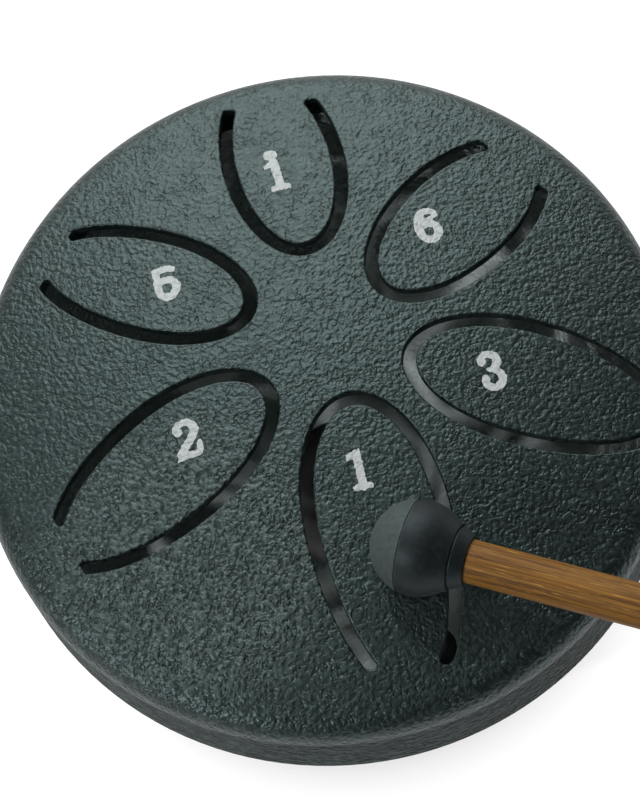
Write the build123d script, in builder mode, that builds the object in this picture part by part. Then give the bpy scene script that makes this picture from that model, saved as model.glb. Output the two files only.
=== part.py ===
# Small six-note steel tongue drum with its mallet, in millimetres.
# Z is up, the origin lies on the drum's axis in the plane of its feet,
# and the longest tongue points to -Y.
import os
from math import atan2, cos, radians, sin, sqrt, tan

from build123d import *

os.makedirs("parts", exist_ok=True)

# Shells, both pressed from steel sheet
drum_diameter = 80.0
sheet = 1.2
dome_rise = 5.2  # crown above the edge where dome and skirt would meet
shoulder_radius = 3.0  # outside, between dome and skirt
skirt_height = 13.2  # from that edge down to the seam
bowl_depth = 25.7  # from the seam down to the base
base_diameter = 64.0  # where the bowl's wall and its base would meet
bowl_corner_radius = 5.0  # outside, between wall and base
lap = 4.0  # height of the bowl's lip inside the skirt
lap_clearance = 0.05
start_angle = 238.0  # degrees, where the dome's face starts and ends, clear of the slots
sound_hole_diameter = 19.0

# Tongues: each is bounded by an egg-shaped slot, two half ellipses, that stays open at the root.
# Their axes meet at a hub, which lies off the drum's axis.
slot_width = 1.5
slot_edge_radius = 0.2  # rounding of the slots' edges on the outside
hub_x = 2.6
hub_y = 4.3
root_margin = 5.8  # from the circle of slot ends out to the skirt
hub_radius = 11.2  # hub to the tip of the shortest tongue
tongue_width = 14.6  # widest tongue, between slot centres
root_shift_share = 0.2  # how far the circle of slot ends follows the hub
slot_end_share = 0.3  # corner radius of a slot's end, of its width

# One entry a tongue: notes 1, 2, 3, 5, 6 and the high 1
tongue_angles = (269.8, 205.3, 332.7, 147.8, 33.3, 92.2)
tip_gap_shares = (0.695, 0.856, 0.786, 0.902, 0.704, 1.0)  # of the hub's radius
width_shares = (1.0, 0.934, 0.910, 0.833, 0.911, 0.851)  # of the widest tongue
reach_shares = (1.011, 0.998, 1.056, 1.012, 0.972, 1.02)  # of the way to the slot-end circle
belly_shares = (0.462, 0.477, 0.490, 0.497, 0.575, 0.584)  # of the tongue, from its tip to where it is widest
open_shares = (0.854, 0.916, 0.883, 0.855, 0.779, 0.673)  # of the half ellipse behind that place
root_skews = (9.0, 8.3, -15.0, 8.2, -2.5, 9.1)  # degrees, turn of the line that ends both legs

# Push-in rubber feet
foot_stand = 2.6  # base above the table
foot_diameter = 9.0
foot_sole_diameter = 7.6
foot_circle_diameter = 46.0
foot_hole_diameter = 4.0
foot_clearance = 0.05
foot_bulb_diameter = 5.4  # swelling that holds the stem inside the bowl
foot_bulb_height = 2.2
foot_bulb_tip_share = 0.6
foot_names = ("foot_right", "foot_back", "foot_left", "foot_front")
foot_angles = (15, 105, 195, 285)

# Mallet: rubber head moulded on a wooden stick, held with its head on tongue 1
mallet_length = 110.0
head_diameter = 10.5
head_land = 1.3  # from the round tip back to where the tail's cone would start
head_tail = 5.7  # from the round tip back to the collar's end
head_shoulder_share = 0.95  # of the land, taken up by the rounding into the cone
collar_diameter = 5.6
collar_length = 1.3
parting_lead = 1.0  # parting line in front of the widest circle
groove_width = 0.25
groove_depth = 0.15
stick_diameter = 4.75
stick_clearance = 0.02
socket_depth = 6.2
socket_end_gap = 0.3
stick_end_share = 0.55  # rounding of the grip end, of the stick's radius
mallet_bearing = -31.0  # degrees from +X, towards the grip
mallet_climb = 6.0  # degrees above the level, towards the grip
strike_x_share = 0.15  # head's place, of the drum's radius
strike_y_share = -0.579
strike_clearance = 0.3

overrun = 1.0  # past a face that a cut goes through

# Levels and circles that several pieces share
drum_radius = drum_diameter / 2
base_z = foot_stand
seam_z = base_z + bowl_depth
edge_z = seam_z + skirt_height
crown_z = edge_z + dome_rise
dome_radius = (drum_radius**2 + dome_rise**2) / (2 * dome_rise)
dome_centre_z = crown_z - dome_radius
skirt_inside = drum_radius - sheet

# Upper shell: domed top, rounded shoulder and short skirt in one wall thickness
with BuildPart() as top_shell:
    start_plane = Plane(
        origin=(0, 0, 0),
        x_dir=Vector(1, 0).rotate(Axis.Z, start_angle),
        z_dir=Vector(0, -1).rotate(Axis.Z, start_angle),
    )
    with BuildSketch(start_plane):
        with BuildLine() as wall:
            RadiusArc((0, crown_z), (drum_radius, edge_z), dome_radius)
            Line((drum_radius, edge_z), (drum_radius, seam_z))
            shoulder = wall.vertices().sort_by(Axis.X).group_by(Axis.X)[-1].sort_by(Axis.Y)[-1]
            fillet(shoulder, radius=shoulder_radius)
            offset(amount=sheet, side=Side.RIGHT)
        make_face()
    revolve(axis=Axis.Z)

    # Slots, cut straight down through the dome
    hub_lead_x = hub_x * (1 - root_shift_share)
    hub_lead_y = hub_y * (1 - root_shift_share)
    root_radius = drum_radius - root_margin
    for angle, gap_share, width_share, reach_share, belly_share, open_share, skew in zip(
        tongue_angles, tip_gap_shares, width_shares, reach_shares, belly_shares, open_shares, root_skews
    ):
        along = Vector(1, 0).rotate(Axis.Z, angle)
        lead = hub_lead_x * along.X + hub_lead_y * along.Y
        to_circle = sqrt(lead**2 + root_radius**2 - hub_lead_x**2 - hub_lead_y**2) - lead
        tip = hub_radius * gap_share
        root = to_circle * reach_share
        belly = tip + (root - tip) * belly_share
        root_half = (root - belly) / open_share
        half_width = tongue_width * width_share / 2
        slot_plane = Plane(origin=(hub_x, hub_y, crown_z + overrun), x_dir=along)
        with BuildSketch(slot_plane) as slot:
            for grow, mode in ((slot_width / 2, Mode.ADD), (-slot_width / 2, Mode.SUBTRACT)):
                with BuildLine():
                    EllipticalCenterArc((belly, 0), belly - tip + grow, half_width + grow, 90, arc_size=180)
                    EllipticalCenterArc((belly, 0), root_half + grow, half_width + grow, -90, arc_size=180)
                make_face(mode=mode)
            with Locations((root, 0)):
                Rectangle(
                    drum_radius,
                    drum_diameter,
                    rotation=-skew,
                    align=(Align.MIN, Align.CENTER),
                    mode=Mode.SUBTRACT,
                )
            slot_ends = slot.vertices().sort_by(Axis.X)[-4:]
            fillet(slot_ends, radius=slot_end_share * slot_width)
        extrude(amount=-(overrun + dome_rise + 2 * sheet), mode=Mode.SUBTRACT)
    dome = top_shell.faces().filter_by(GeomType.SPHERE).sort_by(SortBy.AREA)[-1]
    fillet(dome.inner_wires().edges(), radius=slot_edge_radius)
top_shell.part.label = "top_shell"
export_step(top_shell.part, "parts/top_shell.step")

# Lower shell: a tapering bowl whose lip stands inside the skirt
with BuildPart() as bottom_shell:
    with BuildSketch(Plane.XZ):
        with BuildLine() as bowl:
            Polyline(
                (0, seam_z), (0, base_z), (base_diameter / 2, base_z), (drum_radius, seam_z), close=True
            )
            corner = bowl.vertices().sort_by(Axis.Y)[:2].sort_by(Axis.X)[-1]
            fillet(corner, radius=bowl_corner_radius)
        make_face()
    revolve(axis=Axis.Z)
    offset(amount=-sheet, openings=bottom_shell.faces().sort_by(Axis.Z)[-1])
    lip_radius = skirt_inside - lap_clearance
    with BuildSketch(Plane.XY.offset(seam_z - sheet)):
        Circle(lip_radius)
        Circle(lip_radius - sheet, mode=Mode.SUBTRACT)
    extrude(amount=sheet + lap)
    with BuildSketch(Plane.XY.offset(base_z)):
        Circle(sound_hole_diameter / 2)
        with Locations(
            *[Vector(foot_circle_diameter / 2, 0).rotate(Axis.Z, angle) for angle in foot_angles]
        ):
            Circle(foot_hole_diameter / 2)
    extrude(amount=sheet, mode=Mode.SUBTRACT)
bottom_shell.part.label = "bottom_shell"
export_step(bottom_shell.part, "parts/bottom_shell.step")

# Feet: tapered pad under the base, stem through it and a bulb that keeps it there
inside_z = base_z + sheet
for foot_name, angle in zip(foot_names, foot_angles):
    place = Vector(foot_circle_diameter / 2, 0).rotate(Axis.Z, angle)
    stem_radius = foot_hole_diameter / 2 - foot_clearance
    bulb_radius = foot_bulb_diameter / 2
    with BuildPart() as foot:
        with BuildSketch(Plane(origin=place, x_dir=(1, 0, 0), z_dir=(0, -1, 0))):
            with BuildLine():
                Polyline(
                    (0, 0),
                    (foot_sole_diameter / 2, 0),
                    (foot_diameter / 2, base_z),
                    (stem_radius, base_z),
                    (stem_radius, inside_z),
                    (bulb_radius, inside_z),
                    (bulb_radius * foot_bulb_tip_share, inside_z + foot_bulb_height),
                    (0, inside_z + foot_bulb_height),
                    close=True,
                )
            make_face()
        revolve(axis=Axis(place, (0, 0, 1)))
    foot.part.label = foot_name
    export_step(foot.part, f"parts/{foot_name}.step")

# Mallet axis: through the head's centre, which stands off the dome by its radius
head_radius = head_diameter / 2
strike_x = drum_radius * strike_x_share
strike_y = drum_radius * strike_y_share
stand_off = dome_radius + head_radius + strike_clearance
strike_z = dome_centre_z + sqrt(stand_off**2 - strike_x**2 - strike_y**2)
head_centre = Vector(strike_x, strike_y, strike_z)
to_side = Vector(0, 1).rotate(Axis.Z, mallet_bearing)
to_grip = Vector(
    cos(radians(mallet_climb)) * cos(radians(mallet_bearing)),
    cos(radians(mallet_climb)) * sin(radians(mallet_bearing)),
    sin(radians(mallet_climb)),
)
mallet_axis = Axis(head_centre, to_grip)
mallet_section = Plane(origin=head_centre, x_dir=to_grip, z_dir=to_side)
socket_floor = head_tail - socket_depth

# Rubber head: round tip, tapering tail, collar behind a groove, blind socket
collar_radius = collar_diameter / 2
collar_start = head_tail - collar_length
tail_angle = atan2(head_radius - collar_radius, head_tail - head_land)
neck_radius = collar_radius + collar_length * tan(tail_angle)
socket_radius = stick_diameter / 2 + stick_clearance
with BuildPart() as mallet_head:
    with BuildSketch(mallet_section):
        with BuildLine() as outline:
            CenterArc((0, 0), head_radius, 90, 90)
            Polyline(
                (-head_radius, 0),
                (socket_floor, 0),
                (socket_floor, socket_radius),
                (head_tail, socket_radius),
                (head_tail, collar_radius),
                (collar_start, neck_radius),
                (collar_start, neck_radius - groove_depth),
                (collar_start - groove_width, neck_radius - groove_depth),
                (collar_start - groove_width, neck_radius + groove_width * tan(tail_angle)),
                (head_land, head_radius),
                (0, head_radius),
            )
            shoulder = outline.vertices().sort_by_distance((head_land, head_radius))[0]
            fillet(shoulder, radius=head_land * head_shoulder_share / tan(tail_angle / 2))
        make_face()
    revolve(axis=mallet_axis)
    with BuildSketch(mallet_section):
        with Locations((-parting_lead, sqrt(head_radius**2 - parting_lead**2))):
            Rectangle(groove_width, 2 * groove_depth)
    revolve(axis=mallet_axis, mode=Mode.SUBTRACT)
mallet_head.part.label = "mallet_head"
export_step(mallet_head.part, "parts/mallet_head.step")

# Wooden stick: plain dowel with a rounded grip end
with BuildPart() as mallet_stick:
    stick_start = socket_floor + socket_end_gap
    stick_end = mallet_length - head_radius
    with BuildSketch(Plane(origin=head_centre + to_grip * stick_start, z_dir=to_grip)):
        Circle(stick_diameter / 2)
    extrude(amount=stick_end - stick_start)
    grip_end = mallet_stick.edges().filter_by(GeomType.CIRCLE).sort_by(mallet_axis)[-1]
    fillet(grip_end, radius=stick_end_share * stick_diameter / 2)
mallet_stick.part.label = "mallet_stick"
export_step(mallet_stick.part, "parts/mallet_stick.step")
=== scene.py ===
import math
import bpy
import numpy as np
from mathutils import Matrix, Vector, noise


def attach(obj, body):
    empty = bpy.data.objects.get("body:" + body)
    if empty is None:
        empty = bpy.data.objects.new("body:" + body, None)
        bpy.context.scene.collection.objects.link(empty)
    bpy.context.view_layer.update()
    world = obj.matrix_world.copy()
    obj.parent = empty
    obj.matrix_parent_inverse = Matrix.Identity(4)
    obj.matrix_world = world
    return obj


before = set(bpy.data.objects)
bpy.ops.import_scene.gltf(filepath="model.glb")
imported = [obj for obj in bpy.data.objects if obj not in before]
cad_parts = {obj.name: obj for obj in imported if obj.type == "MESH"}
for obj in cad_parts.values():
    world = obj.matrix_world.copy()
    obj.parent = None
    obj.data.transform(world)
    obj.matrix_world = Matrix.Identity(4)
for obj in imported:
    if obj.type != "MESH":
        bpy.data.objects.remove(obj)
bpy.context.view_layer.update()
print("frame loaded:", ", ".join(sorted(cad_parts)))

mm = 0.001  # the frame is in metres
white = (1, 1, 1, 1)
floatA, floatB = 2, 3  # a Mix node's sockets for plain numbers
mixA, mixB, mixOut = 6, 7, 2  # and for colours


def toLinear(hexColour):  # sRGB hex to the linear colour a socket wants
    parts = [int(hexColour[i:i + 2], 16) / 255 for i in (1, 3, 5)]
    linear = [p / 12.92 if p <= 0.04045 else ((p + 0.055) / 1.055) ** 2.4 for p in parts]
    return (*linear, 1.0)


def addNode(tree, kind, inputs=None, **settings):
    node = tree.nodes.new(kind)
    for name, value in settings.items():
        setattr(node, name, value)
    for key, value in (inputs or {}).items():
        if isinstance(value, bpy.types.NodeSocket):
            tree.links.new(value, node.inputs[key])
        else:
            node.inputs[key].default_value = value
    return node


def newTree(owner):
    owner.use_nodes = True
    owner.node_tree.nodes.clear()
    return owner.node_tree


# Camera, where the photograph was taken from

photoCamera = {
    "target": (0.0, 0.0, 39.17 * mm),  # on the drum's axis, level with the shoulder
    "distance": 320 * mm,
    "elevation": 70.09,  # degrees
    "roll": -13.58,
    "focalPx": 2824.8,
    "shiftPx": (4.60, -2.38),
    "longSidePx": 800,
    "sensor": 36.0,
    "clip": (0.01, 20.0),  # m
}


def makeCamera(spec):
    rise, turn = math.radians(spec["elevation"]), math.radians(spec["roll"])
    back = Vector((0, -math.cos(rise), math.sin(rise)))
    right, up = Vector((1, 0, 0)), Vector((0, math.sin(rise), math.cos(rise)))
    across = right * math.cos(turn) + up * math.sin(turn)
    along = up * math.cos(turn) - right * math.sin(turn)
    data = bpy.data.cameras.new("photoCamera")
    data.sensor_width = spec["sensor"]
    data.lens = spec["focalPx"] * spec["sensor"] / spec["longSidePx"]
    data.shift_x = -spec["shiftPx"][0] / spec["longSidePx"]
    data.shift_y = spec["shiftPx"][1] / spec["longSidePx"]
    data.clip_start, data.clip_end = spec["clip"]
    camera = bpy.data.objects.new("photoCamera", data)
    bpy.context.scene.collection.objects.link(camera)
    axes = Matrix((across, along, back)).transposed().to_4x4()
    place = Vector(spec["target"]) + back * spec["distance"]
    camera.matrix_world = Matrix.Translation(place) @ axes
    bpy.context.scene.camera = camera


makeCamera(photoCamera)
bpy.context.scene.view_settings.view_transform = "Standard"
print("camera set")

# Studio: pale paper floor, a room that is light behind and dim above, a softbox behind and six small lamps

studio = {
    "floorSize": 4.0,
    "paper": "#8c8c8c",
    "glow": 0.93,  # how white the paper shows by itself; the lamps add the rest
    "shadeStart": 20 * mm,  # no glow under the drum, so the floor there shows painted shade on top of the lamps' real shadow; from here outwards the glow fades in
    "shadeEnd": 41 * mm,
    "wallLevel": 0.12,  # brightness of the room near the horizon
    "backLevel": 0.80,  # and of the wall behind
    "backStart": 0.25,  # where that wall begins and is full, as the y of a direction
    "backFull": 0.85,
    "ceilingLevel": 0.03,
    "wallTop": 0.55,  # sines of the elevations between which walls turn to ceiling
    "ceilingStart": 0.92,
    "lampTarget": (0.0, 0.0, 35 * mm),
    "lampDistance": 0.80,
    "softbox": (0.66, 0.28),  # width and height in m
    "spot": (0.03, 0.03),
    "lamps": (  # name, direction from the drum, kind, watts
        ("softboxBack", (0.16, 1.48, 1.0), "softbox", 4.0),
        ("spotFrontLeft", (-1.14, -0.57, 1.0), "spot", 2.4),
        ("spotFrontLeftLow", (-1.08, -0.96, 1.0), "spot", 1.2),
        ("spotBack", (-0.12, 0.57, 1.0), "spot", 1.3),
        ("spotBackHigh", (-0.09, 0.48, 1.0), "spot", 0.7),
        ("spotLeft", (-0.39, 0.27, 1.0), "spot", 0.4),
        ("spotAbove", (0.06, -0.24, 1.0), "spot", 0.2),
    ),
}


def makeFloor(spec):
    half = spec["floorSize"] / 2
    corners = [(-half, -half, 0), (half, -half, 0), (half, half, 0), (-half, half, 0)]
    mesh = bpy.data.meshes.new("floor")
    mesh.from_pydata(corners, [], [(0, 1, 2, 3)])
    floor = bpy.data.objects.new("floor", mesh)
    bpy.context.scene.collection.objects.link(floor)
    material = bpy.data.materials.new("studioPaper")
    tree = newTree(material)
    rays = addNode(tree, "ShaderNodeLightPath")
    seen = addNode(
        tree,
        "ShaderNodeMath",
        {0: rays.outputs["Is Camera Ray"], 1: rays.outputs["Is Glossy Ray"]},
        operation="MAXIMUM",
    )
    seen = addNode(
        tree,
        "ShaderNodeMath",
        {0: seen.outputs[0], 1: rays.outputs["Is Transmission Ray"]},
        operation="MAXIMUM",
    )
    spot = addNode(tree, "ShaderNodeTexCoord")
    reach = addNode(tree, "ShaderNodeVectorMath", {0: spot.outputs["Object"]}, operation="LENGTH")
    # the glow fades out towards the drum's axis: painted shade under the drum
    away = addNode(
        tree,
        "ShaderNodeMapRange",
        {
            "Value": reach.outputs["Value"],
            "From Min": spec["shadeStart"],
            "From Max": spec["shadeEnd"],
            "To Max": spec["glow"],
        },
        interpolation_type="SMOOTHSTEP",
    )
    glow = addNode(tree, "ShaderNodeMath", {0: seen.outputs[0], 1: away.outputs[0]}, operation="MULTIPLY")
    paper = addNode(tree, "ShaderNodeBsdfDiffuse", {"Color": toLinear(spec["paper"])})
    light = addNode(tree, "ShaderNodeEmission", {"Color": white, "Strength": glow.outputs[0]})
    both = addNode(tree, "ShaderNodeAddShader", {0: paper.outputs[0], 1: light.outputs[0]})
    addNode(tree, "ShaderNodeOutputMaterial", {"Surface": both.outputs[0]})
    mesh.materials.append(material)


def makeWorld(spec):
    world = bpy.data.worlds.new("studioRoom")
    bpy.context.scene.world = world
    tree = newTree(world)
    rays = addNode(tree, "ShaderNodeLightPath")
    spot = addNode(tree, "ShaderNodeTexCoord")
    parts = addNode(tree, "ShaderNodeSeparateXYZ", {0: spot.outputs["Generated"]})
    wall = addNode(
        tree,
        "ShaderNodeMapRange",
        {
            "Value": parts.outputs["Y"],
            "From Min": spec["backStart"],
            "From Max": spec["backFull"],
            "To Min": spec["wallLevel"],
            "To Max": spec["backLevel"],
        },
        interpolation_type="SMOOTHSTEP",
    )
    room = addNode(
        tree,
        "ShaderNodeMapRange",
        {
            "Value": parts.outputs["Z"],
            "From Min": spec["wallTop"],
            "From Max": spec["ceilingStart"],
            "To Min": wall.outputs[0],
            "To Max": spec["ceilingLevel"],
        },
        interpolation_type="SMOOTHSTEP",
    )
    level = addNode(
        tree,
        "ShaderNodeMath",
        {0: room.outputs[0], 1: rays.outputs["Is Camera Ray"]},
        operation="MAXIMUM",
    )
    sky = addNode(tree, "ShaderNodeBackground", {"Color": white, "Strength": level.outputs[0]})
    addNode(tree, "ShaderNodeOutputWorld", {"Surface": sky.outputs[0]})


def makeLamps(spec):
    target = Vector(spec["lampTarget"])
    for name, way, kind, watts in spec["lamps"]:
        place = target + Vector(way).normalized() * spec["lampDistance"]
        lamp = bpy.data.lights.new(name, "AREA")
        lamp.shape = "RECTANGLE"
        lamp.size, lamp.size_y = spec[kind]
        lamp.energy = watts
        lampObject = bpy.data.objects.new(name, lamp)
        bpy.context.scene.collection.objects.link(lampObject)
        lampObject.location = place
        lampObject.rotation_euler = (target - place).to_track_quat("-Z", "Y").to_euler()


makeFloor(studio)
makeWorld(studio)
makeLamps(studio)
print("floor, room and lamps set")

# Wrinkle powder coat: baked polyester film that shrinks into a leather-like grain, dull and dark.
# Round the skirt and the bowl the wrinkles are coarser and run longer.

# Its colour is painted: darker in the creases and lighter on the crests, lighter on the walls, and lighter
# on the crests at the front left, as painted shade, light and highlight.
coat = {
    "shadedHollow": "#060a0a",  # in the creases, darker as painted shade
    # on the crests, lighter as painted light
    "litCrest": "#1b2524",
    "highlightCrest": "#394140",  # granule crests painted pale grey at the front left, a painted highlight
    # on the skirt and the bowl's wall the same coat is painted lighter, painted light from the pale floor
    # and room around them
    "litWallHollow": "#252e2d",
    "litWallCrest": "#3d4a49",
    "tint": "#d2f2f0",  # of what it mirrors
    "grain": 0.50 * mm,
    "grainDetail": 1.2,
    "granule": 1.0 * mm,
    "granuleDetail": 0.5,
    "granuleShare": 0.95,  # height of the round granules beside the grain's
    "wrinkle": 1.5 * mm,
    "wrinkleDetail": 2.0,
    "wrinkleRoughness": 0.6,
    "creaseLevels": (0.435, 0.50),  # where a fold's crease begins and is deepest
    "patch": 2.6 * mm,  # creases come and go at this size
    "patchDetail": 1.0,
    "patchLevels": (0.42, 0.58),
    "colourLevels": (0.0, 0.24),  # heights of the hollows and of the crests, between which the colour goes from painted shade to painted light
    "relief": 0.16 * mm,
    "thickHighlightPlace": (-19 * mm, -17 * mm, 44 * mm),  # the film lies thicker here and wrinkles deeper, and its crests carry a painted highlight
    "thickHighlightCore": 9 * mm,
    "thickHighlightEnd": 21 * mm,
    "thickRelief": 1.6,
    "creaseShare": 0.24,  # depth of a crease beside the grain's
    "roughness": 0.41,
    "wallRoughness": 0.60,
    "wallRelief": 5.0,  # times the dome's
    "specular": 0.6,
    "wallSpecular": 0.08,
    "sideRadius": 40 * mm,
    "drawnOut": 1.8,
    "wallCoarse": 1.3,  # grain of the wall beside the dome's
    "topEdge": (40.2 * mm, 38.2 * mm),  # heights between which the dome turns down into the skirt
    "baseEdge": (3.6 * mm, 6.0 * mm),  # and the base up into the bowl's wall
}


def grainHeight(tree, place, spec):
    middle = 0.5  # of a noise's range, where it is folded over
    fine = addNode(
        tree,
        "ShaderNodeTexNoise",
        {"Vector": place, "Scale": 1 / spec["grain"], "Detail": spec["grainDetail"]},
    )
    lumps = addNode(
        tree,
        "ShaderNodeTexNoise",
        {"Vector": place, "Scale": 1 / spec["granule"], "Detail": spec["granuleDetail"]},
    )
    dip = addNode(tree, "ShaderNodeMath", {0: lumps.outputs["Fac"], 1: middle}, operation="PINGPONG")
    soft = addNode(
        tree,
        "ShaderNodeMath",
        {0: dip.outputs[0], 1: -spec["granuleShare"], 2: fine.outputs["Fac"]},
        operation="MULTIPLY_ADD",
    )
    fold = addNode(
        tree,
        "ShaderNodeTexNoise",
        {
            "Vector": place,
            "Scale": 1 / spec["wrinkle"],
            "Detail": spec["wrinkleDetail"],
            "Roughness": spec["wrinkleRoughness"],
        },
    )
    ridge = addNode(tree, "ShaderNodeMath", {0: fold.outputs["Fac"], 1: middle}, operation="PINGPONG")
    begins, deepest = spec["creaseLevels"]
    crease = addNode(
        tree,
        "ShaderNodeMapRange",
        {"Value": ridge.outputs[0], "From Min": begins, "From Max": deepest},
        interpolation_type="SMOOTHSTEP",
    )
    patch = addNode(
        tree,
        "ShaderNodeTexNoise",
        {"Vector": place, "Scale": 1 / spec["patch"], "Detail": spec["patchDetail"]},
    )
    bare, full = spec["patchLevels"]
    shown = addNode(
        tree,
        "ShaderNodeMapRange",
        {"Value": patch.outputs["Fac"], "From Min": bare, "From Max": full, "To Max": -spec["creaseShare"]},
        interpolation_type="SMOOTHSTEP",
    )
    height = addNode(
        tree,
        "ShaderNodeMath",
        {0: crease.outputs[0], 1: shown.outputs[0], 2: soft.outputs[0]},
        operation="MULTIPLY_ADD",
    )
    return height.outputs[0]


def axisDistance(tree, parts):
    level = addNode(tree, "ShaderNodeCombineXYZ", {"X": parts.outputs["X"], "Y": parts.outputs["Y"]})
    return addNode(tree, "ShaderNodeVectorMath", {0: level.outputs[0]}, operation="LENGTH").outputs["Value"]


def drawnOutPlace(tree, parts, spec):  # coordinates round the wall, in which the wrinkles come out longer
    angle = addNode(
        tree, "ShaderNodeMath", {0: parts.outputs["Y"], 1: parts.outputs["X"]}, operation="ARCTAN2"
    )
    arc = addNode(
        tree,
        "ShaderNodeMath",
        {0: angle.outputs[0], 1: spec["sideRadius"] / spec["drawnOut"]},
        operation="MULTIPLY",
    )
    fine = 1 / spec["wallCoarse"]
    upright = addNode(tree, "ShaderNodeMath", {0: parts.outputs["Z"], 1: fine}, operation="MULTIPLY")
    outward = addNode(tree, "ShaderNodeMath", {0: axisDistance(tree, parts), 1: fine}, operation="MULTIPLY")
    side = addNode(
        tree,
        "ShaderNodeCombineXYZ",
        {"X": arc.outputs[0], "Y": outward.outputs[0], "Z": upright.outputs[0]},
    )
    return side.outputs[0]


def thickAndHighlightShare(tree, place, spec):  # 1 where the film lies thicker and its crests carry a painted highlight, 0 away from there
    away = addNode(tree, "ShaderNodeVectorMath", {0: place, 1: spec["thickHighlightPlace"]}, operation="DISTANCE")
    thickAndHighlight = addNode(
        tree,
        "ShaderNodeMapRange",
        {"Value": away.outputs["Value"], "From Min": spec["thickHighlightEnd"], "From Max": spec["thickHighlightCore"]},
        interpolation_type="SMOOTHSTEP",
    )
    return thickAndHighlight.outputs[0]


def coatColour(tree, height, wall, thickAndHighlight, spec):  # painted shade in the creases and painted light on the crests, painted light on the walls, a painted highlight on the crests at the front left
    low, high = spec["colourLevels"]
    share = addNode(tree, "ShaderNodeMapRange", {"Value": height, "From Min": low, "From Max": high})
    # the dome's crests, painted paler at the front left as a painted highlight
    domeLitCrest = addNode(
        tree,
        "ShaderNodeMix",
        {0: thickAndHighlight, mixA: toLinear(spec["litCrest"]), mixB: toLinear(spec["highlightCrest"])},
        data_type="RGBA",
    )
    litCrest = addNode(
        tree,
        "ShaderNodeMix",
        {0: wall, mixA: domeLitCrest.outputs[mixOut], mixB: toLinear(spec["litWallCrest"])},
        data_type="RGBA",
    )
    shadedHollow = addNode(
        tree,
        "ShaderNodeMix",
        {0: wall, mixA: toLinear(spec["shadedHollow"]), mixB: toLinear(spec["litWallHollow"])},
        data_type="RGBA",
    )
    colour = addNode(
        tree,
        "ShaderNodeMix",
        {0: share.outputs[0], mixA: shadedHollow.outputs[mixOut], mixB: litCrest.outputs[mixOut]},
        data_type="RGBA",
    )
    return colour.outputs[mixOut]


def coatNodes(tree, spec, edge):  # edge names the heights where level sheet turns to wall
    spot = addNode(tree, "ShaderNodeTexCoord")
    place = spot.outputs["Object"]
    parts = addNode(tree, "ShaderNodeSeparateXYZ", {0: place})
    level, upright = spec[edge]
    # 1 on the walls, where the coat's colour is painted lighter as painted light
    wall = addNode(
        tree,
        "ShaderNodeMapRange",
        {"Value": parts.outputs["Z"], "From Min": level, "From Max": upright},
        interpolation_type="SMOOTHSTEP",
    ).outputs[0]
    height = addNode(
        tree,
        "ShaderNodeMix",
        {
            0: wall,
            floatA: grainHeight(tree, place, spec),
            floatB: grainHeight(tree, drawnOutPlace(tree, parts, spec), spec),
        },
    ).outputs[0]
    thickAndHighlight = thickAndHighlightShare(tree, place, spec)
    colour = coatColour(tree, height, wall, thickAndHighlight, spec)
    domeDepth = addNode(
        tree,
        "ShaderNodeMapRange",
        {"Value": thickAndHighlight, "To Min": spec["relief"], "To Max": spec["relief"] * spec["thickRelief"]},
    )
    depth = addNode(
        tree,
        "ShaderNodeMapRange",
        {"Value": wall, "To Min": domeDepth.outputs[0], "To Max": spec["relief"] * spec["wallRelief"]},
    )
    bump = addNode(tree, "ShaderNodeBump", {"Height": height, "Distance": depth.outputs[0]})
    rough = addNode(
        tree,
        "ShaderNodeMapRange",
        {"Value": wall, "To Min": spec["roughness"], "To Max": spec["wallRoughness"]},
    )
    mirror = addNode(
        tree,
        "ShaderNodeMapRange",
        {"Value": wall, "To Min": spec["specular"], "To Max": spec["wallSpecular"]},
    )
    return colour, bump.outputs[0], rough.outputs[0], mirror.outputs[0]


def makeCoat(spec):
    material = bpy.data.materials.new("wrinklePowderCoat")
    tree = newTree(material)
    colour, bump, rough, mirror = coatNodes(tree, spec, "topEdge")
    shader = addNode(
        tree,
        "ShaderNodeBsdfPrincipled",
        {
            "Base Color": colour,
            "Normal": bump,
            "Roughness": rough,
            "Specular IOR Level": mirror,
            "Specular Tint": toLinear(spec["tint"]),
        },
    )
    addNode(tree, "ShaderNodeOutputMaterial", {"Surface": shader.outputs[0]})
    return material


# Bowl: the same coat outside, and inside the bare phosphated sheet, pale and dull

bowl = {
    "bendRadius": 28.32 * mm,  # middle of the bend between base and wall, from the axis
    "bendHeight": 7.6 * mm,
    "bendMiddle": 4.4 * mm,  # from there to the middle of the sheet
    "flare": 0.3113,  # how the wall widens with height
    "steel": "#e4eeec",
    "stain": "#c3cfce",
    "stainSize": 1.6 * mm,
    "stainDetail": 4.0,
    "steelRoughness": 0.6,
}


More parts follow.
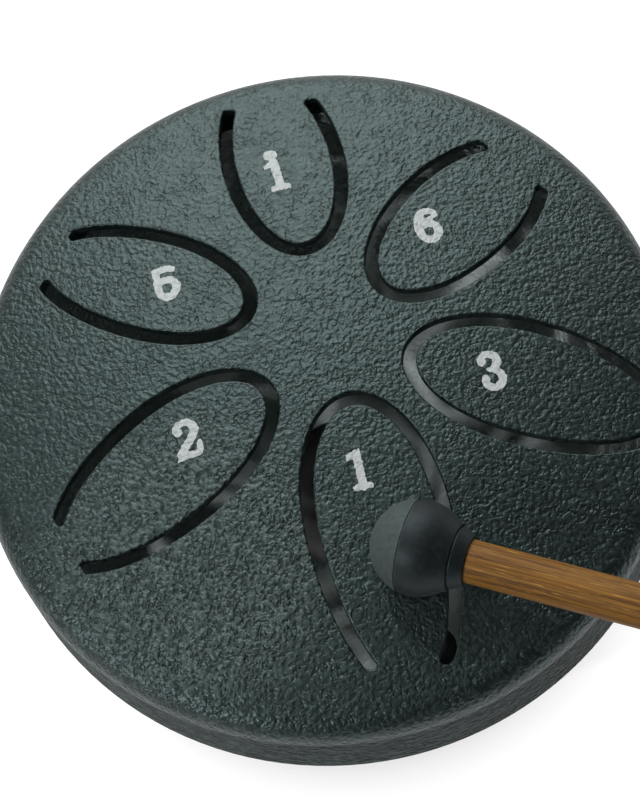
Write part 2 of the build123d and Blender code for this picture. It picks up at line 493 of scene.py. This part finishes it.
def makeBowlFinish(spec, coatSpec):
    material = bpy.data.materials.new("coatedBowlBareInside")
    tree = newTree(material)
    # outside: the coat, painted lighter on the bowl's wall as painted light
    colour, bump, dull, mirror = coatNodes(tree, coatSpec, "baseEdge")
    spot = addNode(tree, "ShaderNodeTexCoord")
    parts = addNode(tree, "ShaderNodeSeparateXYZ", {0: spot.outputs["Object"]})
    rise = addNode(
        tree, "ShaderNodeMath", {0: parts.outputs["Z"], 1: spec["bendHeight"]}, operation="SUBTRACT"
    )
    above = addNode(tree, "ShaderNodeMath", {0: rise.outputs[0], 1: 0.0}, operation="MAXIMUM")
    below = addNode(tree, "ShaderNodeMath", {0: rise.outputs[0], 1: 0.0}, operation="MINIMUM")
    upright = addNode(
        tree,
        "ShaderNodeMath",
        {0: above.outputs[0], 1: -spec["flare"], 2: axisDistance(tree, parts)},
        operation="MULTIPLY_ADD",
    )
    beyond = addNode(
        tree, "ShaderNodeMath", {0: upright.outputs[0], 1: spec["bendRadius"]}, operation="SUBTRACT"
    )
    beyond = addNode(tree, "ShaderNodeMath", {0: beyond.outputs[0], 1: 0.0}, operation="MAXIMUM")
    arm = addNode(tree, "ShaderNodeCombineXYZ", {"X": beyond.outputs[0], "Z": below.outputs[0]})
    reach = addNode(tree, "ShaderNodeVectorMath", {0: arm.outputs[0]}, operation="LENGTH")
    inside = addNode(
        tree, "ShaderNodeMath", {0: reach.outputs["Value"], 1: spec["bendMiddle"]}, operation="LESS_THAN"
    )
    blots = addNode(
        tree,
        "ShaderNodeTexNoise",
        {"Vector": spot.outputs["Object"], "Scale": 1 / spec["stainSize"], "Detail": spec["stainDetail"]},
    )
    steel = addNode(
        tree,
        "ShaderNodeMix",
        {0: blots.outputs["Fac"], mixA: toLinear(spec["steel"]), mixB: toLinear(spec["stain"])},
        data_type="RGBA",
    )
    base = addNode(
        tree,
        "ShaderNodeMix",
        {0: inside.outputs[0], mixA: colour, mixB: steel.outputs[mixOut]},
        data_type="RGBA",
    )
    rough = addNode(
        tree,
        "ShaderNodeMapRange",
        {"Value": inside.outputs[0], "To Min": dull, "To Max": spec["steelRoughness"]},
    )
    shader = addNode(
        tree,
        "ShaderNodeBsdfPrincipled",
        {
            "Base Color": base.outputs[mixOut],
            "Roughness": rough.outputs[0],
            "Normal": bump,
            "Specular IOR Level": mirror,
            "Specular Tint": toLinear(coatSpec["tint"]),
        },
    )
    addNode(tree, "ShaderNodeOutputMaterial", {"Surface": shader.outputs[0]})
    return material


# Moulded rubber: black natural rubber, satin from the mould, its striking tip scuffed grey and dull

headRubber = {
    "name": "mouldedRubber",
    "dark": "#0b1011",
    "pale": "#171d1e",
    "scuffed": "#262d2d",
    "scuffedPale": "#46504f",
    "speck": 0.5 * mm,
    "speckLevels": (0.45, 0.75),
    "speckDetail": 3.0,
    "relief": 0.010 * mm,
    "roughness": 0.52,
    "scuffRoughness": 0.65,
    "specular": 0.3,
    "tint": "#dcf0f3",  # of what it mirrors
    "dust": 0.03,  # pale bloom seen at a low angle
    "centre": (6.0 * mm, -23.16 * mm, 50.5 * mm),
    "tipEdge": -1.0 * mm,  # the parting line, along the stick from the head's middle
    "tipBlur": 0.15 * mm,
}
footRubber = {
    "name": "footRubber",
    "dark": "#101111",
    "pale": "#1f2121",
    "scuffed": "#1f2121",
    "scuffedPale": "#1f2121",
    "speck": 0.4 * mm,
    "speckLevels": (0.45, 0.75),
    "speckDetail": 3.0,
    "relief": 0.02 * mm,
    "roughness": 0.62,
    "scuffRoughness": 0.62,
    "specular": 0.4,
    "tint": "#ffffff",
    "dust": 0.03,
    "centre": (0, 0, 0),
    "tipEdge": -1.0,  # no scuffed end
    "tipBlur": 0.15 * mm,
}
stickWay = {"bearing": -31.0, "climb": 6.0}  # degrees, the way the stick points


def alongStick(tree, centre):  # X runs along the stick from a point of its axis
    climb, bearing = math.radians(stickWay["climb"]), math.radians(stickWay["bearing"])
    level = Matrix.Rotation(climb, 3, "Y") @ Matrix.Rotation(-bearing, 3, "Z")
    spot = addNode(tree, "ShaderNodeTexCoord")
    turned = addNode(
        tree,
        "ShaderNodeMapping",
        {
            "Vector": spot.outputs["Object"],
            "Location": level @ -Vector(centre),
            "Rotation": level.to_euler("XYZ"),
        },
    )
    return turned.outputs[0]


def makeRubber(spec):
    material = bpy.data.materials.new(spec["name"])
    tree = newTree(material)
    place = alongStick(tree, spec["centre"])
    dust = addNode(
        tree,
        "ShaderNodeTexNoise",
        {"Vector": place, "Scale": 1 / spec["speck"], "Detail": spec["speckDetail"]},
    )
    low, high = spec["speckLevels"]
    share = addNode(
        tree, "ShaderNodeMapRange", {"Value": dust.outputs["Fac"], "From Min": low, "From Max": high}
    )
    body = addNode(
        tree,
        "ShaderNodeMix",
        {0: share.outputs[0], mixA: toLinear(spec["dark"]), mixB: toLinear(spec["pale"])},
        data_type="RGBA",
    )
    parts = addNode(tree, "ShaderNodeSeparateXYZ", {0: place})
    tip = addNode(
        tree,
        "ShaderNodeMapRange",
        {
            "Value": parts.outputs["X"],
            "From Min": spec["tipEdge"] - spec["tipBlur"],
            "From Max": spec["tipEdge"] + spec["tipBlur"],
            "To Min": 1.0,
            "To Max": 0.0,
        },
    )
    worn = addNode(
        tree,
        "ShaderNodeMix",
        {0: dust.outputs["Fac"], mixA: toLinear(spec["scuffed"]), mixB: toLinear(spec["scuffedPale"])},
        data_type="RGBA",
    )
    colour = addNode(
        tree,
        "ShaderNodeMix",
        {0: tip.outputs[0], mixA: body.outputs[mixOut], mixB: worn.outputs[mixOut]},
        data_type="RGBA",
    )
    rough = addNode(
        tree,
        "ShaderNodeMapRange",
        {"Value": tip.outputs[0], "To Min": spec["roughness"], "To Max": spec["scuffRoughness"]},
    )
    bump = addNode(tree, "ShaderNodeBump", {"Height": dust.outputs["Fac"], "Distance": spec["relief"]})
    shader = addNode(
        tree,
        "ShaderNodeBsdfPrincipled",
        {
            "Base Color": colour.outputs[mixOut],
            "Normal": bump.outputs[0],
            "Roughness": rough.outputs[0],
            "Specular IOR Level": spec["specular"],
            "Specular Tint": toLinear(spec["tint"]),
            "Sheen Weight": spec["dust"],
        },
    )
    addNode(tree, "ShaderNodeOutputMaterial", {"Surface": shader.outputs[0]})
    return material


# Stained beech dowel: fine straight grain along the stick, short dark pores, thin golden lines, satin

stickWood = {
    "gold": "#a67f3a",  # thin lines that took less stain
    "pale": "#80591f",
    "mid": "#4f3110",
    "dark": "#331c08",
    "streakWidth": 0.27 * mm,
    "streakLength": 13 * mm,
    "poreWidth": 0.15 * mm,
    "poreLength": 3 * mm,
    "grainDetail": 3.0,
    "grainRoughness": 0.6,
    "streakLevels": (0.32, 0.68),
    "poreLevels": (0.60, 0.74),
    "lineLevels": (0.40, 0.28),
    "relief": 0.02 * mm,
    "roughness": 0.60,
    "specular": 0.2,
}


def makeWood(spec):
    material = bpy.data.materials.new("stainedBeech")
    tree = newTree(material)
    place = alongStick(tree, headRubber["centre"])
    shares = []
    streakSize = (spec["streakWidth"], spec["streakLength"])
    poreSize = (spec["poreWidth"], spec["poreLength"])
    for width, length in (streakSize, poreSize):
        drawn = addNode(
            tree,
            "ShaderNodeVectorMath",
            {0: place, 1: (1 / length, 1 / width, 1 / width)},
            operation="MULTIPLY",
        )
        lines = addNode(
            tree,
            "ShaderNodeTexNoise",
            {
                "Vector": drawn.outputs[0],
                "Scale": 1.0,
                "Detail": spec["grainDetail"],
                "Roughness": spec["grainRoughness"],
            },
        )
        shares.append(lines.outputs["Fac"])
    marks = []
    for share, levels in ((shares[0], "streakLevels"), (shares[1], "poreLevels"), (shares[1], "lineLevels")):
        mark = addNode(
            tree,
            "ShaderNodeMapRange",
            {"Value": share, "From Min": spec[levels][0], "From Max": spec[levels][1]},
            interpolation_type="SMOOTHSTEP",
        )
        marks.append(mark.outputs[0])
    streak, pore, line = marks
    ground = addNode(
        tree,
        "ShaderNodeMix",
        {0: streak, mixA: toLinear(spec["pale"]), mixB: toLinear(spec["mid"])},
        data_type="RGBA",
    )
    lined = addNode(
        tree,
        "ShaderNodeMix",
        {0: line, mixA: ground.outputs[mixOut], mixB: toLinear(spec["gold"])},
        data_type="RGBA",
    )
    colour = addNode(
        tree,
        "ShaderNodeMix",
        {0: pore, mixA: lined.outputs[mixOut], mixB: toLinear(spec["dark"])},
        data_type="RGBA",
    )
    bump = addNode(tree, "ShaderNodeBump", {"Height": pore, "Distance": spec["relief"]}, invert=True)
    shader = addNode(
        tree,
        "ShaderNodeBsdfPrincipled",
        {
            "Base Color": colour.outputs[mixOut],
            "Normal": bump.outputs[0],
            "Roughness": spec["roughness"],
            "Specular IOR Level": spec["specular"],
        },
    )
    addNode(tree, "ShaderNodeOutputMaterial", {"Surface": shader.outputs[0]})
    return material


finishes = {
    "coat": makeCoat(coat),
    "bowl": makeBowlFinish(bowl, coat),
    "head": makeRubber(headRubber),
    "foot": makeRubber(footRubber),
    "wood": makeWood(stickWood),
}
nodeFinish = {
    "top_shell": ("coat", "coated_steel"),
    "bottom_shell": ("bowl", "coated_steel"),
    "foot_right": ("foot", "foot_rubber"),
    "foot_back": ("foot", "foot_rubber"),
    "foot_left": ("foot", "foot_rubber"),
    "foot_front": ("foot", "foot_rubber"),
    "mallet_head": ("head", "mallet_rubber"),
    "mallet_stick": ("wood", "stained_wood"),
}
for nodeName, (finish, slotName) in nodeFinish.items():
    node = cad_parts[nodeName]
    node.data.materials.clear()
    node.data.materials.append(finishes[finish])
print("finishes on", len(nodeFinish), "nodes")

# Note numbers, printed on the tongues in pale ink that breaks up a little on the grain.
# A stroke is a row of (x, y, half width) and a plate is a polygon, in mm from the number's middle.

numberPrint = {
    "reach": 3.3,  # mm, half the square that a number is cut from
    "cell": 0.075,  # mm between mesh points
    "nearby": 1.0,  # mm from an edge, past which no cell holds ink
    "sliver": 0.02,  # share of a cell, least distance of a cut from a mesh point
    "ragged": 0.11,  # mm, most that the edge wanders over the grain
    "raggedSize": 0.32,  # mm
    "raggedBand": 0.165,  # mm, how far from an edge it is looked for
    "raggedStep": 20,  # mm, shifts the pattern from number to number
    "thickness": 0.10,  # mm, most of it sunk in the coat
    "lift": 0.035,
    "domeRadius": 156.446,  # mm
    "crown": 46.7,
    "ink": "#a7adac",
    "thin": "#737b7a",
    "wearDetail": 3.0,
    "wearLevels": (0.55, 0.80),
    "roughness": 0.6,
    "weld": 1e-4,  # mm, points closer than this are merged
}
farAway, tiny = 1e3, 1e-9  # mm, past every edge, and next to nothing
numberShapes = {
    "1": {
        "strokes": [[(0.12, 1.9, 0.46), (0.07, -1.9, 0.46)]],
        "plates": [
            [(-1.10, 1.30), (-1.05, 1.95), (0.55, 2.40), (0.55, 1.55), (-0.25, 1.36)],
            [(-1.10, -2.25), (-1.05, -1.72), (-0.40, -1.45), (0.55, -1.45), (1.15, -1.72), (1.20, -2.25)],
        ],
    },
    "high1": {
        "strokes": [
            [(-0.27, 1.2, 0.48), (-0.13, -2.3, 0.48)],
            [(-0.78, 2.22, 0.56), (-0.28, 2.20, 0.58), (-0.42, 1.75, 0.45)],
        ],
        "plates": [
            [(-1.52, 0.48), (-1.55, 0.92), (-0.75, 1.30), (-0.2, 1.45), (-0.2, 0.55), (-0.7, 0.45)],
            [(-1.25, -2.74), (-1.20, -2.15), (-0.6, -1.90), (0.35, -1.90), (1.00, -2.15), (1.05, -2.74)],
        ],
    },
    "2": {
        "strokes": [
            [
                (-0.98, 1.12, 0.52), (-1.10, 1.42, 0.42), (-0.75, 1.88, 0.42), (-0.10, 2.06, 0.40),
                (0.55, 1.85, 0.45), (0.92, 1.25, 0.50), (0.72, 0.55, 0.48), (0.15, -0.15, 0.45),
                (-0.55, -0.85, 0.45), (-1.10, -1.60, 0.45),
            ],
            [(1.22, -0.55, 0.30), (1.15, -1.40, 0.36)],
        ],
        "plates": [
            [
                (-1.62, -2.28), (-1.40, -1.55), (-0.80, -1.10), (0.10, -1.45), (0.9, -1.30), (1.50, -1.10),
                (1.40, -1.90), (0.95, -2.10),
            ],
        ],
    },
    "3": {
        "strokes": [
            [
                (-0.78, 1.22, 0.48), (-0.85, 1.55, 0.36), (-0.40, 1.92, 0.40), (0.20, 1.95, 0.42),
                (0.78, 1.60, 0.45), (0.92, 1.05, 0.47), (0.70, 0.55, 0.44), (0.15, 0.22, 0.36),
                (-0.25, 0.22, 0.26),
            ],
            [
                (0.20, 0.22, 0.30), (0.75, -0.15, 0.42), (1.08, -0.75, 0.46), (1.00, -1.35, 0.46),
                (0.55, -1.82, 0.46), (0.00, -1.95, 0.44), (-0.55, -1.70, 0.42), (-0.88, -1.20, 0.40),
                (-0.78, -0.80, 0.47),
            ],
        ],
        "plates": [],
    },
    "5": {
        "strokes": [
            [
                (-0.92, 1.75, 0.46), (-0.92, 0.40, 0.44), (-0.95, -0.60, 0.46), (-0.72, -1.30, 0.46),
                (-0.05, -1.70, 0.47), (0.65, -1.45, 0.48), (1.10, -0.70, 0.49), (0.95, 0.05, 0.47),
                (0.40, 0.42, 0.42), (-0.30, 0.42, 0.40), (-0.85, 0.10, 0.40),
            ],
            [(-0.75, 1.72, 0.40), (0.00, 1.86, 0.42), (0.55, 1.84, 0.42), (1.02, 1.66, 0.34)],
        ],
        "plates": [[(-1.38, 2.02), (-1.36, 1.20), (-0.50, 1.20), (-0.50, 2.02)]],
    },
    "6": {
        "strokes": [
            [
                (0.88, 1.28, 0.36), (0.72, 1.68, 0.36), (0.15, 1.94, 0.40), (-0.45, 1.80, 0.43),
                (-0.95, 1.25, 0.47), (-1.18, 0.45, 0.48), (-1.15, -0.55, 0.47), (-0.85, -1.35, 0.46),
                (-0.10, -1.76, 0.46), (0.62, -1.45, 0.47), (0.93, -0.75, 0.47), (0.70, -0.02, 0.47),
                (0.05, 0.28, 0.44), (-0.60, 0.18, 0.44),
            ],
            [(-0.70, 0.75, 0.40), (0.00, 0.70, 0.40), (0.40, 0.95, 0.30)],
        ],
        "plates": [],
    },
}
numberPlaces = (  # piece, shape, x and y in mm
    ("number_1", "1", 1.80, -11.70),
    ("number_2", "2", -15.79, -3.49),
    ("number_3", "3", 18.60, -3.86),
    ("number_5", "5", -14.43, 15.57),
    ("number_6", "6", 16.03, 14.96),
    ("number_high_1", "high1", 0.93, 26.42),
)


def smoothStroke(points, steps=8):  # rounds a stroke's corners, Catmull-Rom
    rows = [np.array(p) for p in points]
    rows = [2 * rows[0] - rows[1], *rows, 2 * rows[-1] - rows[-2]]
    drawn = []
    for a, b, c, d in zip(rows, rows[1:], rows[2:], rows[3:]):
        for t in np.linspace(0, 1, steps, endpoint=False):
            bend = (2 * a - 5 * b + 4 * c - d) * t**2 + (3 * b - a - 3 * c + d) * t**3
            drawn.append(0.5 * (2 * b + (c - a) * t + bend))
    return np.array([*drawn, rows[-2]])


def strokeGap(x, y, points):  # distance to a stroke's edge, below 0 inside it
    rows = smoothStroke(points)
    gap = np.full(x.shape, farAway)
    for (ax, ay, ar), (bx, by, br) in zip(rows, rows[1:]):
        dx, dy = bx - ax, by - ay
        t = np.clip(((x - ax) * dx + (y - ay) * dy) / max(dx * dx + dy * dy, tiny), 0, 1)
        gap = np.minimum(gap, np.hypot(x - ax - t * dx, y - ay - t * dy) - (ar + t * (br - ar)))
    return gap


def plateGap(x, y, corners):
    inside = np.zeros(x.shape, bool)
    gap = np.full(x.shape, farAway)
    for (ax, ay), (bx, by) in zip(corners, corners[1:] + corners[:1]):
        dx, dy = bx - ax, by - ay
        t = np.clip(((x - ax) * dx + (y - ay) * dy) / (dx * dx + dy * dy), 0, 1)
        gap = np.minimum(gap, np.hypot(x - ax - t * dx, y - ay - t * dy))
        crosses = (ay > y) != (by > y)
        inside ^= crosses & (x < ax + (y - ay) * dx / (dy if dy else tiny))
    return np.where(inside, -gap, gap)


def numberSheet(shape, spec, seed):  # flat mesh of one number, cut out of a square grid
    span = np.arange(-spec["reach"], spec["reach"] + spec["cell"], spec["cell"])
    x, y = np.meshgrid(span, span, indexing="ij")
    gap = np.full(x.shape, farAway)
    for stroke in shape["strokes"]:
        gap = np.minimum(gap, strokeGap(x, y, stroke))
    for plate in shape["plates"]:
        gap = np.minimum(gap, plateGap(x, y, plate))
    for i in np.ndindex(x.shape):
        if abs(gap[i]) < spec["raggedBand"]:
            spot = Vector((x[i] + spec["raggedStep"] * seed, y[i], seed)) / spec["raggedSize"]
            gap[i] += spec["ragged"] * noise.noise(spot)
    points, index, faces = [], {}, []

    def corner(key, place):
        if key not in index:
            index[key] = len(points)
            points.append((place[0] * mm, place[1] * mm, 0.0))
        return index[key]

    for i, j in np.argwhere(gap[:-1, :-1] < spec["nearby"]):
        ring = [(i, j), (i + 1, j), (i + 1, j + 1), (i, j + 1)]
        face = []
        for a, b in zip(ring, ring[1:] + ring[:1]):
            if gap[a] < 0:
                face.append(corner(a, (x[a], y[a])))
            if (gap[a] < 0) != (gap[b] < 0):
                t = min(max(gap[a] / (gap[a] - gap[b]), spec["sliver"]), 1 - spec["sliver"])
                cut = (x[a] + t * (x[b] - x[a]), y[a] + t * (y[b] - y[a]))
                face.append(corner((min(a, b), max(a, b)), cut))
        if len(face) > 2:
            faces.append(face)
    return points, faces


def makeInk(spec):  # pad-printing ink: opaque, thin, a little worn where the grain stands up
    material = bpy.data.materials.new("padPrintInk")
    tree = newTree(material)
    bump = coatNodes(tree, coat, "topEdge")[1]
    spot = addNode(tree, "ShaderNodeTexCoord")
    wear = addNode(
        tree,
        "ShaderNodeTexNoise",
        {"Vector": spot.outputs["Object"], "Scale": 1 / coat["grain"], "Detail": spec["wearDetail"]},
    )
    low, high = spec["wearLevels"]
    share = addNode(
        tree, "ShaderNodeMapRange", {"Value": wear.outputs["Fac"], "From Min": low, "From Max": high}
    )
    colour = addNode(
        tree,
        "ShaderNodeMix",
        {0: share.outputs[0], mixA: toLinear(spec["ink"]), mixB: toLinear(spec["thin"])},
        data_type="RGBA",
    )
    shader = addNode(
        tree,
        "ShaderNodeBsdfPrincipled",
        {"Base Color": colour.outputs[mixOut], "Normal": bump, "Roughness": spec["roughness"]},
    )
    addNode(tree, "ShaderNodeOutputMaterial", {"Surface": shader.outputs[0]})
    return material


def makeWrapTree(material):  # lays a flat sheet on the dome and gives it a thickness
    tree = bpy.data.node_groups.new("inkOnDome", "GeometryNodeTree")
    tree.interface.new_socket("Geometry", in_out="INPUT", socket_type="NodeSocketGeometry")
    for label in ("Thickness", "Lift", "Dome Radius", "Dome Centre", "Weld"):
        tree.interface.new_socket(label, in_out="INPUT", socket_type="NodeSocketFloat")
    tree.interface.new_socket("Geometry", in_out="OUTPUT", socket_type="NodeSocketGeometry")
    given = addNode(tree, "NodeGroupInput")
    raised = addNode(
        tree,
        "GeometryNodeExtrudeMesh",
        {"Mesh": given.outputs["Geometry"], "Offset Scale": given.outputs["Thickness"], "Individual": False},
    )
    under = addNode(tree, "GeometryNodeFlipFaces", {"Mesh": given.outputs["Geometry"]})
    closed = addNode(tree, "GeometryNodeJoinGeometry", {"Geometry": raised.outputs["Mesh"]})
    tree.links.new(under.outputs[0], closed.inputs["Geometry"])
    merged = addNode(
        tree,
        "GeometryNodeMergeByDistance",
        {"Geometry": closed.outputs[0], "Distance": given.outputs["Weld"]},
    )
    place = addNode(tree, "GeometryNodeInputPosition")
    parts = addNode(tree, "ShaderNodeSeparateXYZ", {0: place.outputs[0]})
    top = addNode(
        tree, "ShaderNodeMath", {0: given.outputs["Dome Radius"], 1: given.outputs["Lift"]}, operation="ADD"
    )
    low = addNode(
        tree, "ShaderNodeMath", {0: top.outputs[0], 1: given.outputs["Thickness"]}, operation="SUBTRACT"
    )
    shell = addNode(tree, "ShaderNodeMath", {0: low.outputs[0], 1: parts.outputs["Z"]}, operation="ADD")
    square = addNode(
        tree, "ShaderNodeMath", {0: shell.outputs[0], 1: shell.outputs[0]}, operation="MULTIPLY"
    )
    flat = addNode(tree, "ShaderNodeCombineXYZ", {"X": parts.outputs["X"], "Y": parts.outputs["Y"]})
    reach = addNode(
        tree, "ShaderNodeVectorMath", {0: flat.outputs[0], 1: flat.outputs[0]}, operation="DOT_PRODUCT"
    )
    rest = addNode(
        tree, "ShaderNodeMath", {0: square.outputs[0], 1: reach.outputs["Value"]}, operation="SUBTRACT"
    )
    rise = addNode(tree, "ShaderNodeMath", {0: rest.outputs[0]}, operation="SQRT")
    height = addNode(
        tree, "ShaderNodeMath", {0: rise.outputs[0], 1: given.outputs["Dome Centre"]}, operation="ADD"
    )
    spot = addNode(
        tree,
        "ShaderNodeCombineXYZ",
        {"X": parts.outputs["X"], "Y": parts.outputs["Y"], "Z": height.outputs[0]},
    )
    laid = addNode(
        tree, "GeometryNodeSetPosition", {"Geometry": merged.outputs[0], "Position": spot.outputs[0]}
    )
    real = addNode(tree, "GeometryNodeRealizeInstances", {"Geometry": laid.outputs[0]})
    inked = addNode(tree, "GeometryNodeSetMaterial", {"Geometry": real.outputs[0], "Material": material})
    addNode(tree, "NodeGroupOutput", {"Geometry": inked.outputs[0]})
    return tree


def printNumbers(places, shapes, spec):
    ink = makeInk(spec)
    tree = makeWrapTree(ink)
    sizes = {
        "Thickness": spec["thickness"] * mm,
        "Lift": spec["lift"] * mm,
        "Dome Radius": spec["domeRadius"] * mm,
        "Dome Centre": (spec["crown"] - spec["domeRadius"]) * mm,
        "Weld": spec["weld"] * mm,
    }
    for seed, (pieceName, shapeName, x, y) in enumerate(places, start=1):
        points, faces = numberSheet(shapes[shapeName], spec, seed)
        points = [(px + x * mm, py + y * mm, pz) for px, py, pz in points]
        flat = bpy.data.meshes.new(pieceName + "Flat")
        flat.from_pydata(points, [], faces)
        piece = bpy.data.objects.new(pieceName, flat)
        bpy.context.scene.collection.objects.link(piece)
        modifier = piece.modifiers.new("inkOnDome", "NODES")
        modifier.node_group = tree
        for item in tree.interface.items_tree:
            if item.in_out == "INPUT" and item.name in sizes:
                modifier[item.identifier] = sizes[item.name]
        done = piece.evaluated_get(bpy.context.evaluated_depsgraph_get())
        mesh = bpy.data.meshes.new_from_object(done)
        mesh.name = pieceName
        piece.modifiers.clear()
        piece.data = mesh
        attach(piece, "drum")
        print(pieceName, len(mesh.polygons), "faces")


printNumbers(numberPlaces, numberShapes, numberPrint)
print("numbers printed")
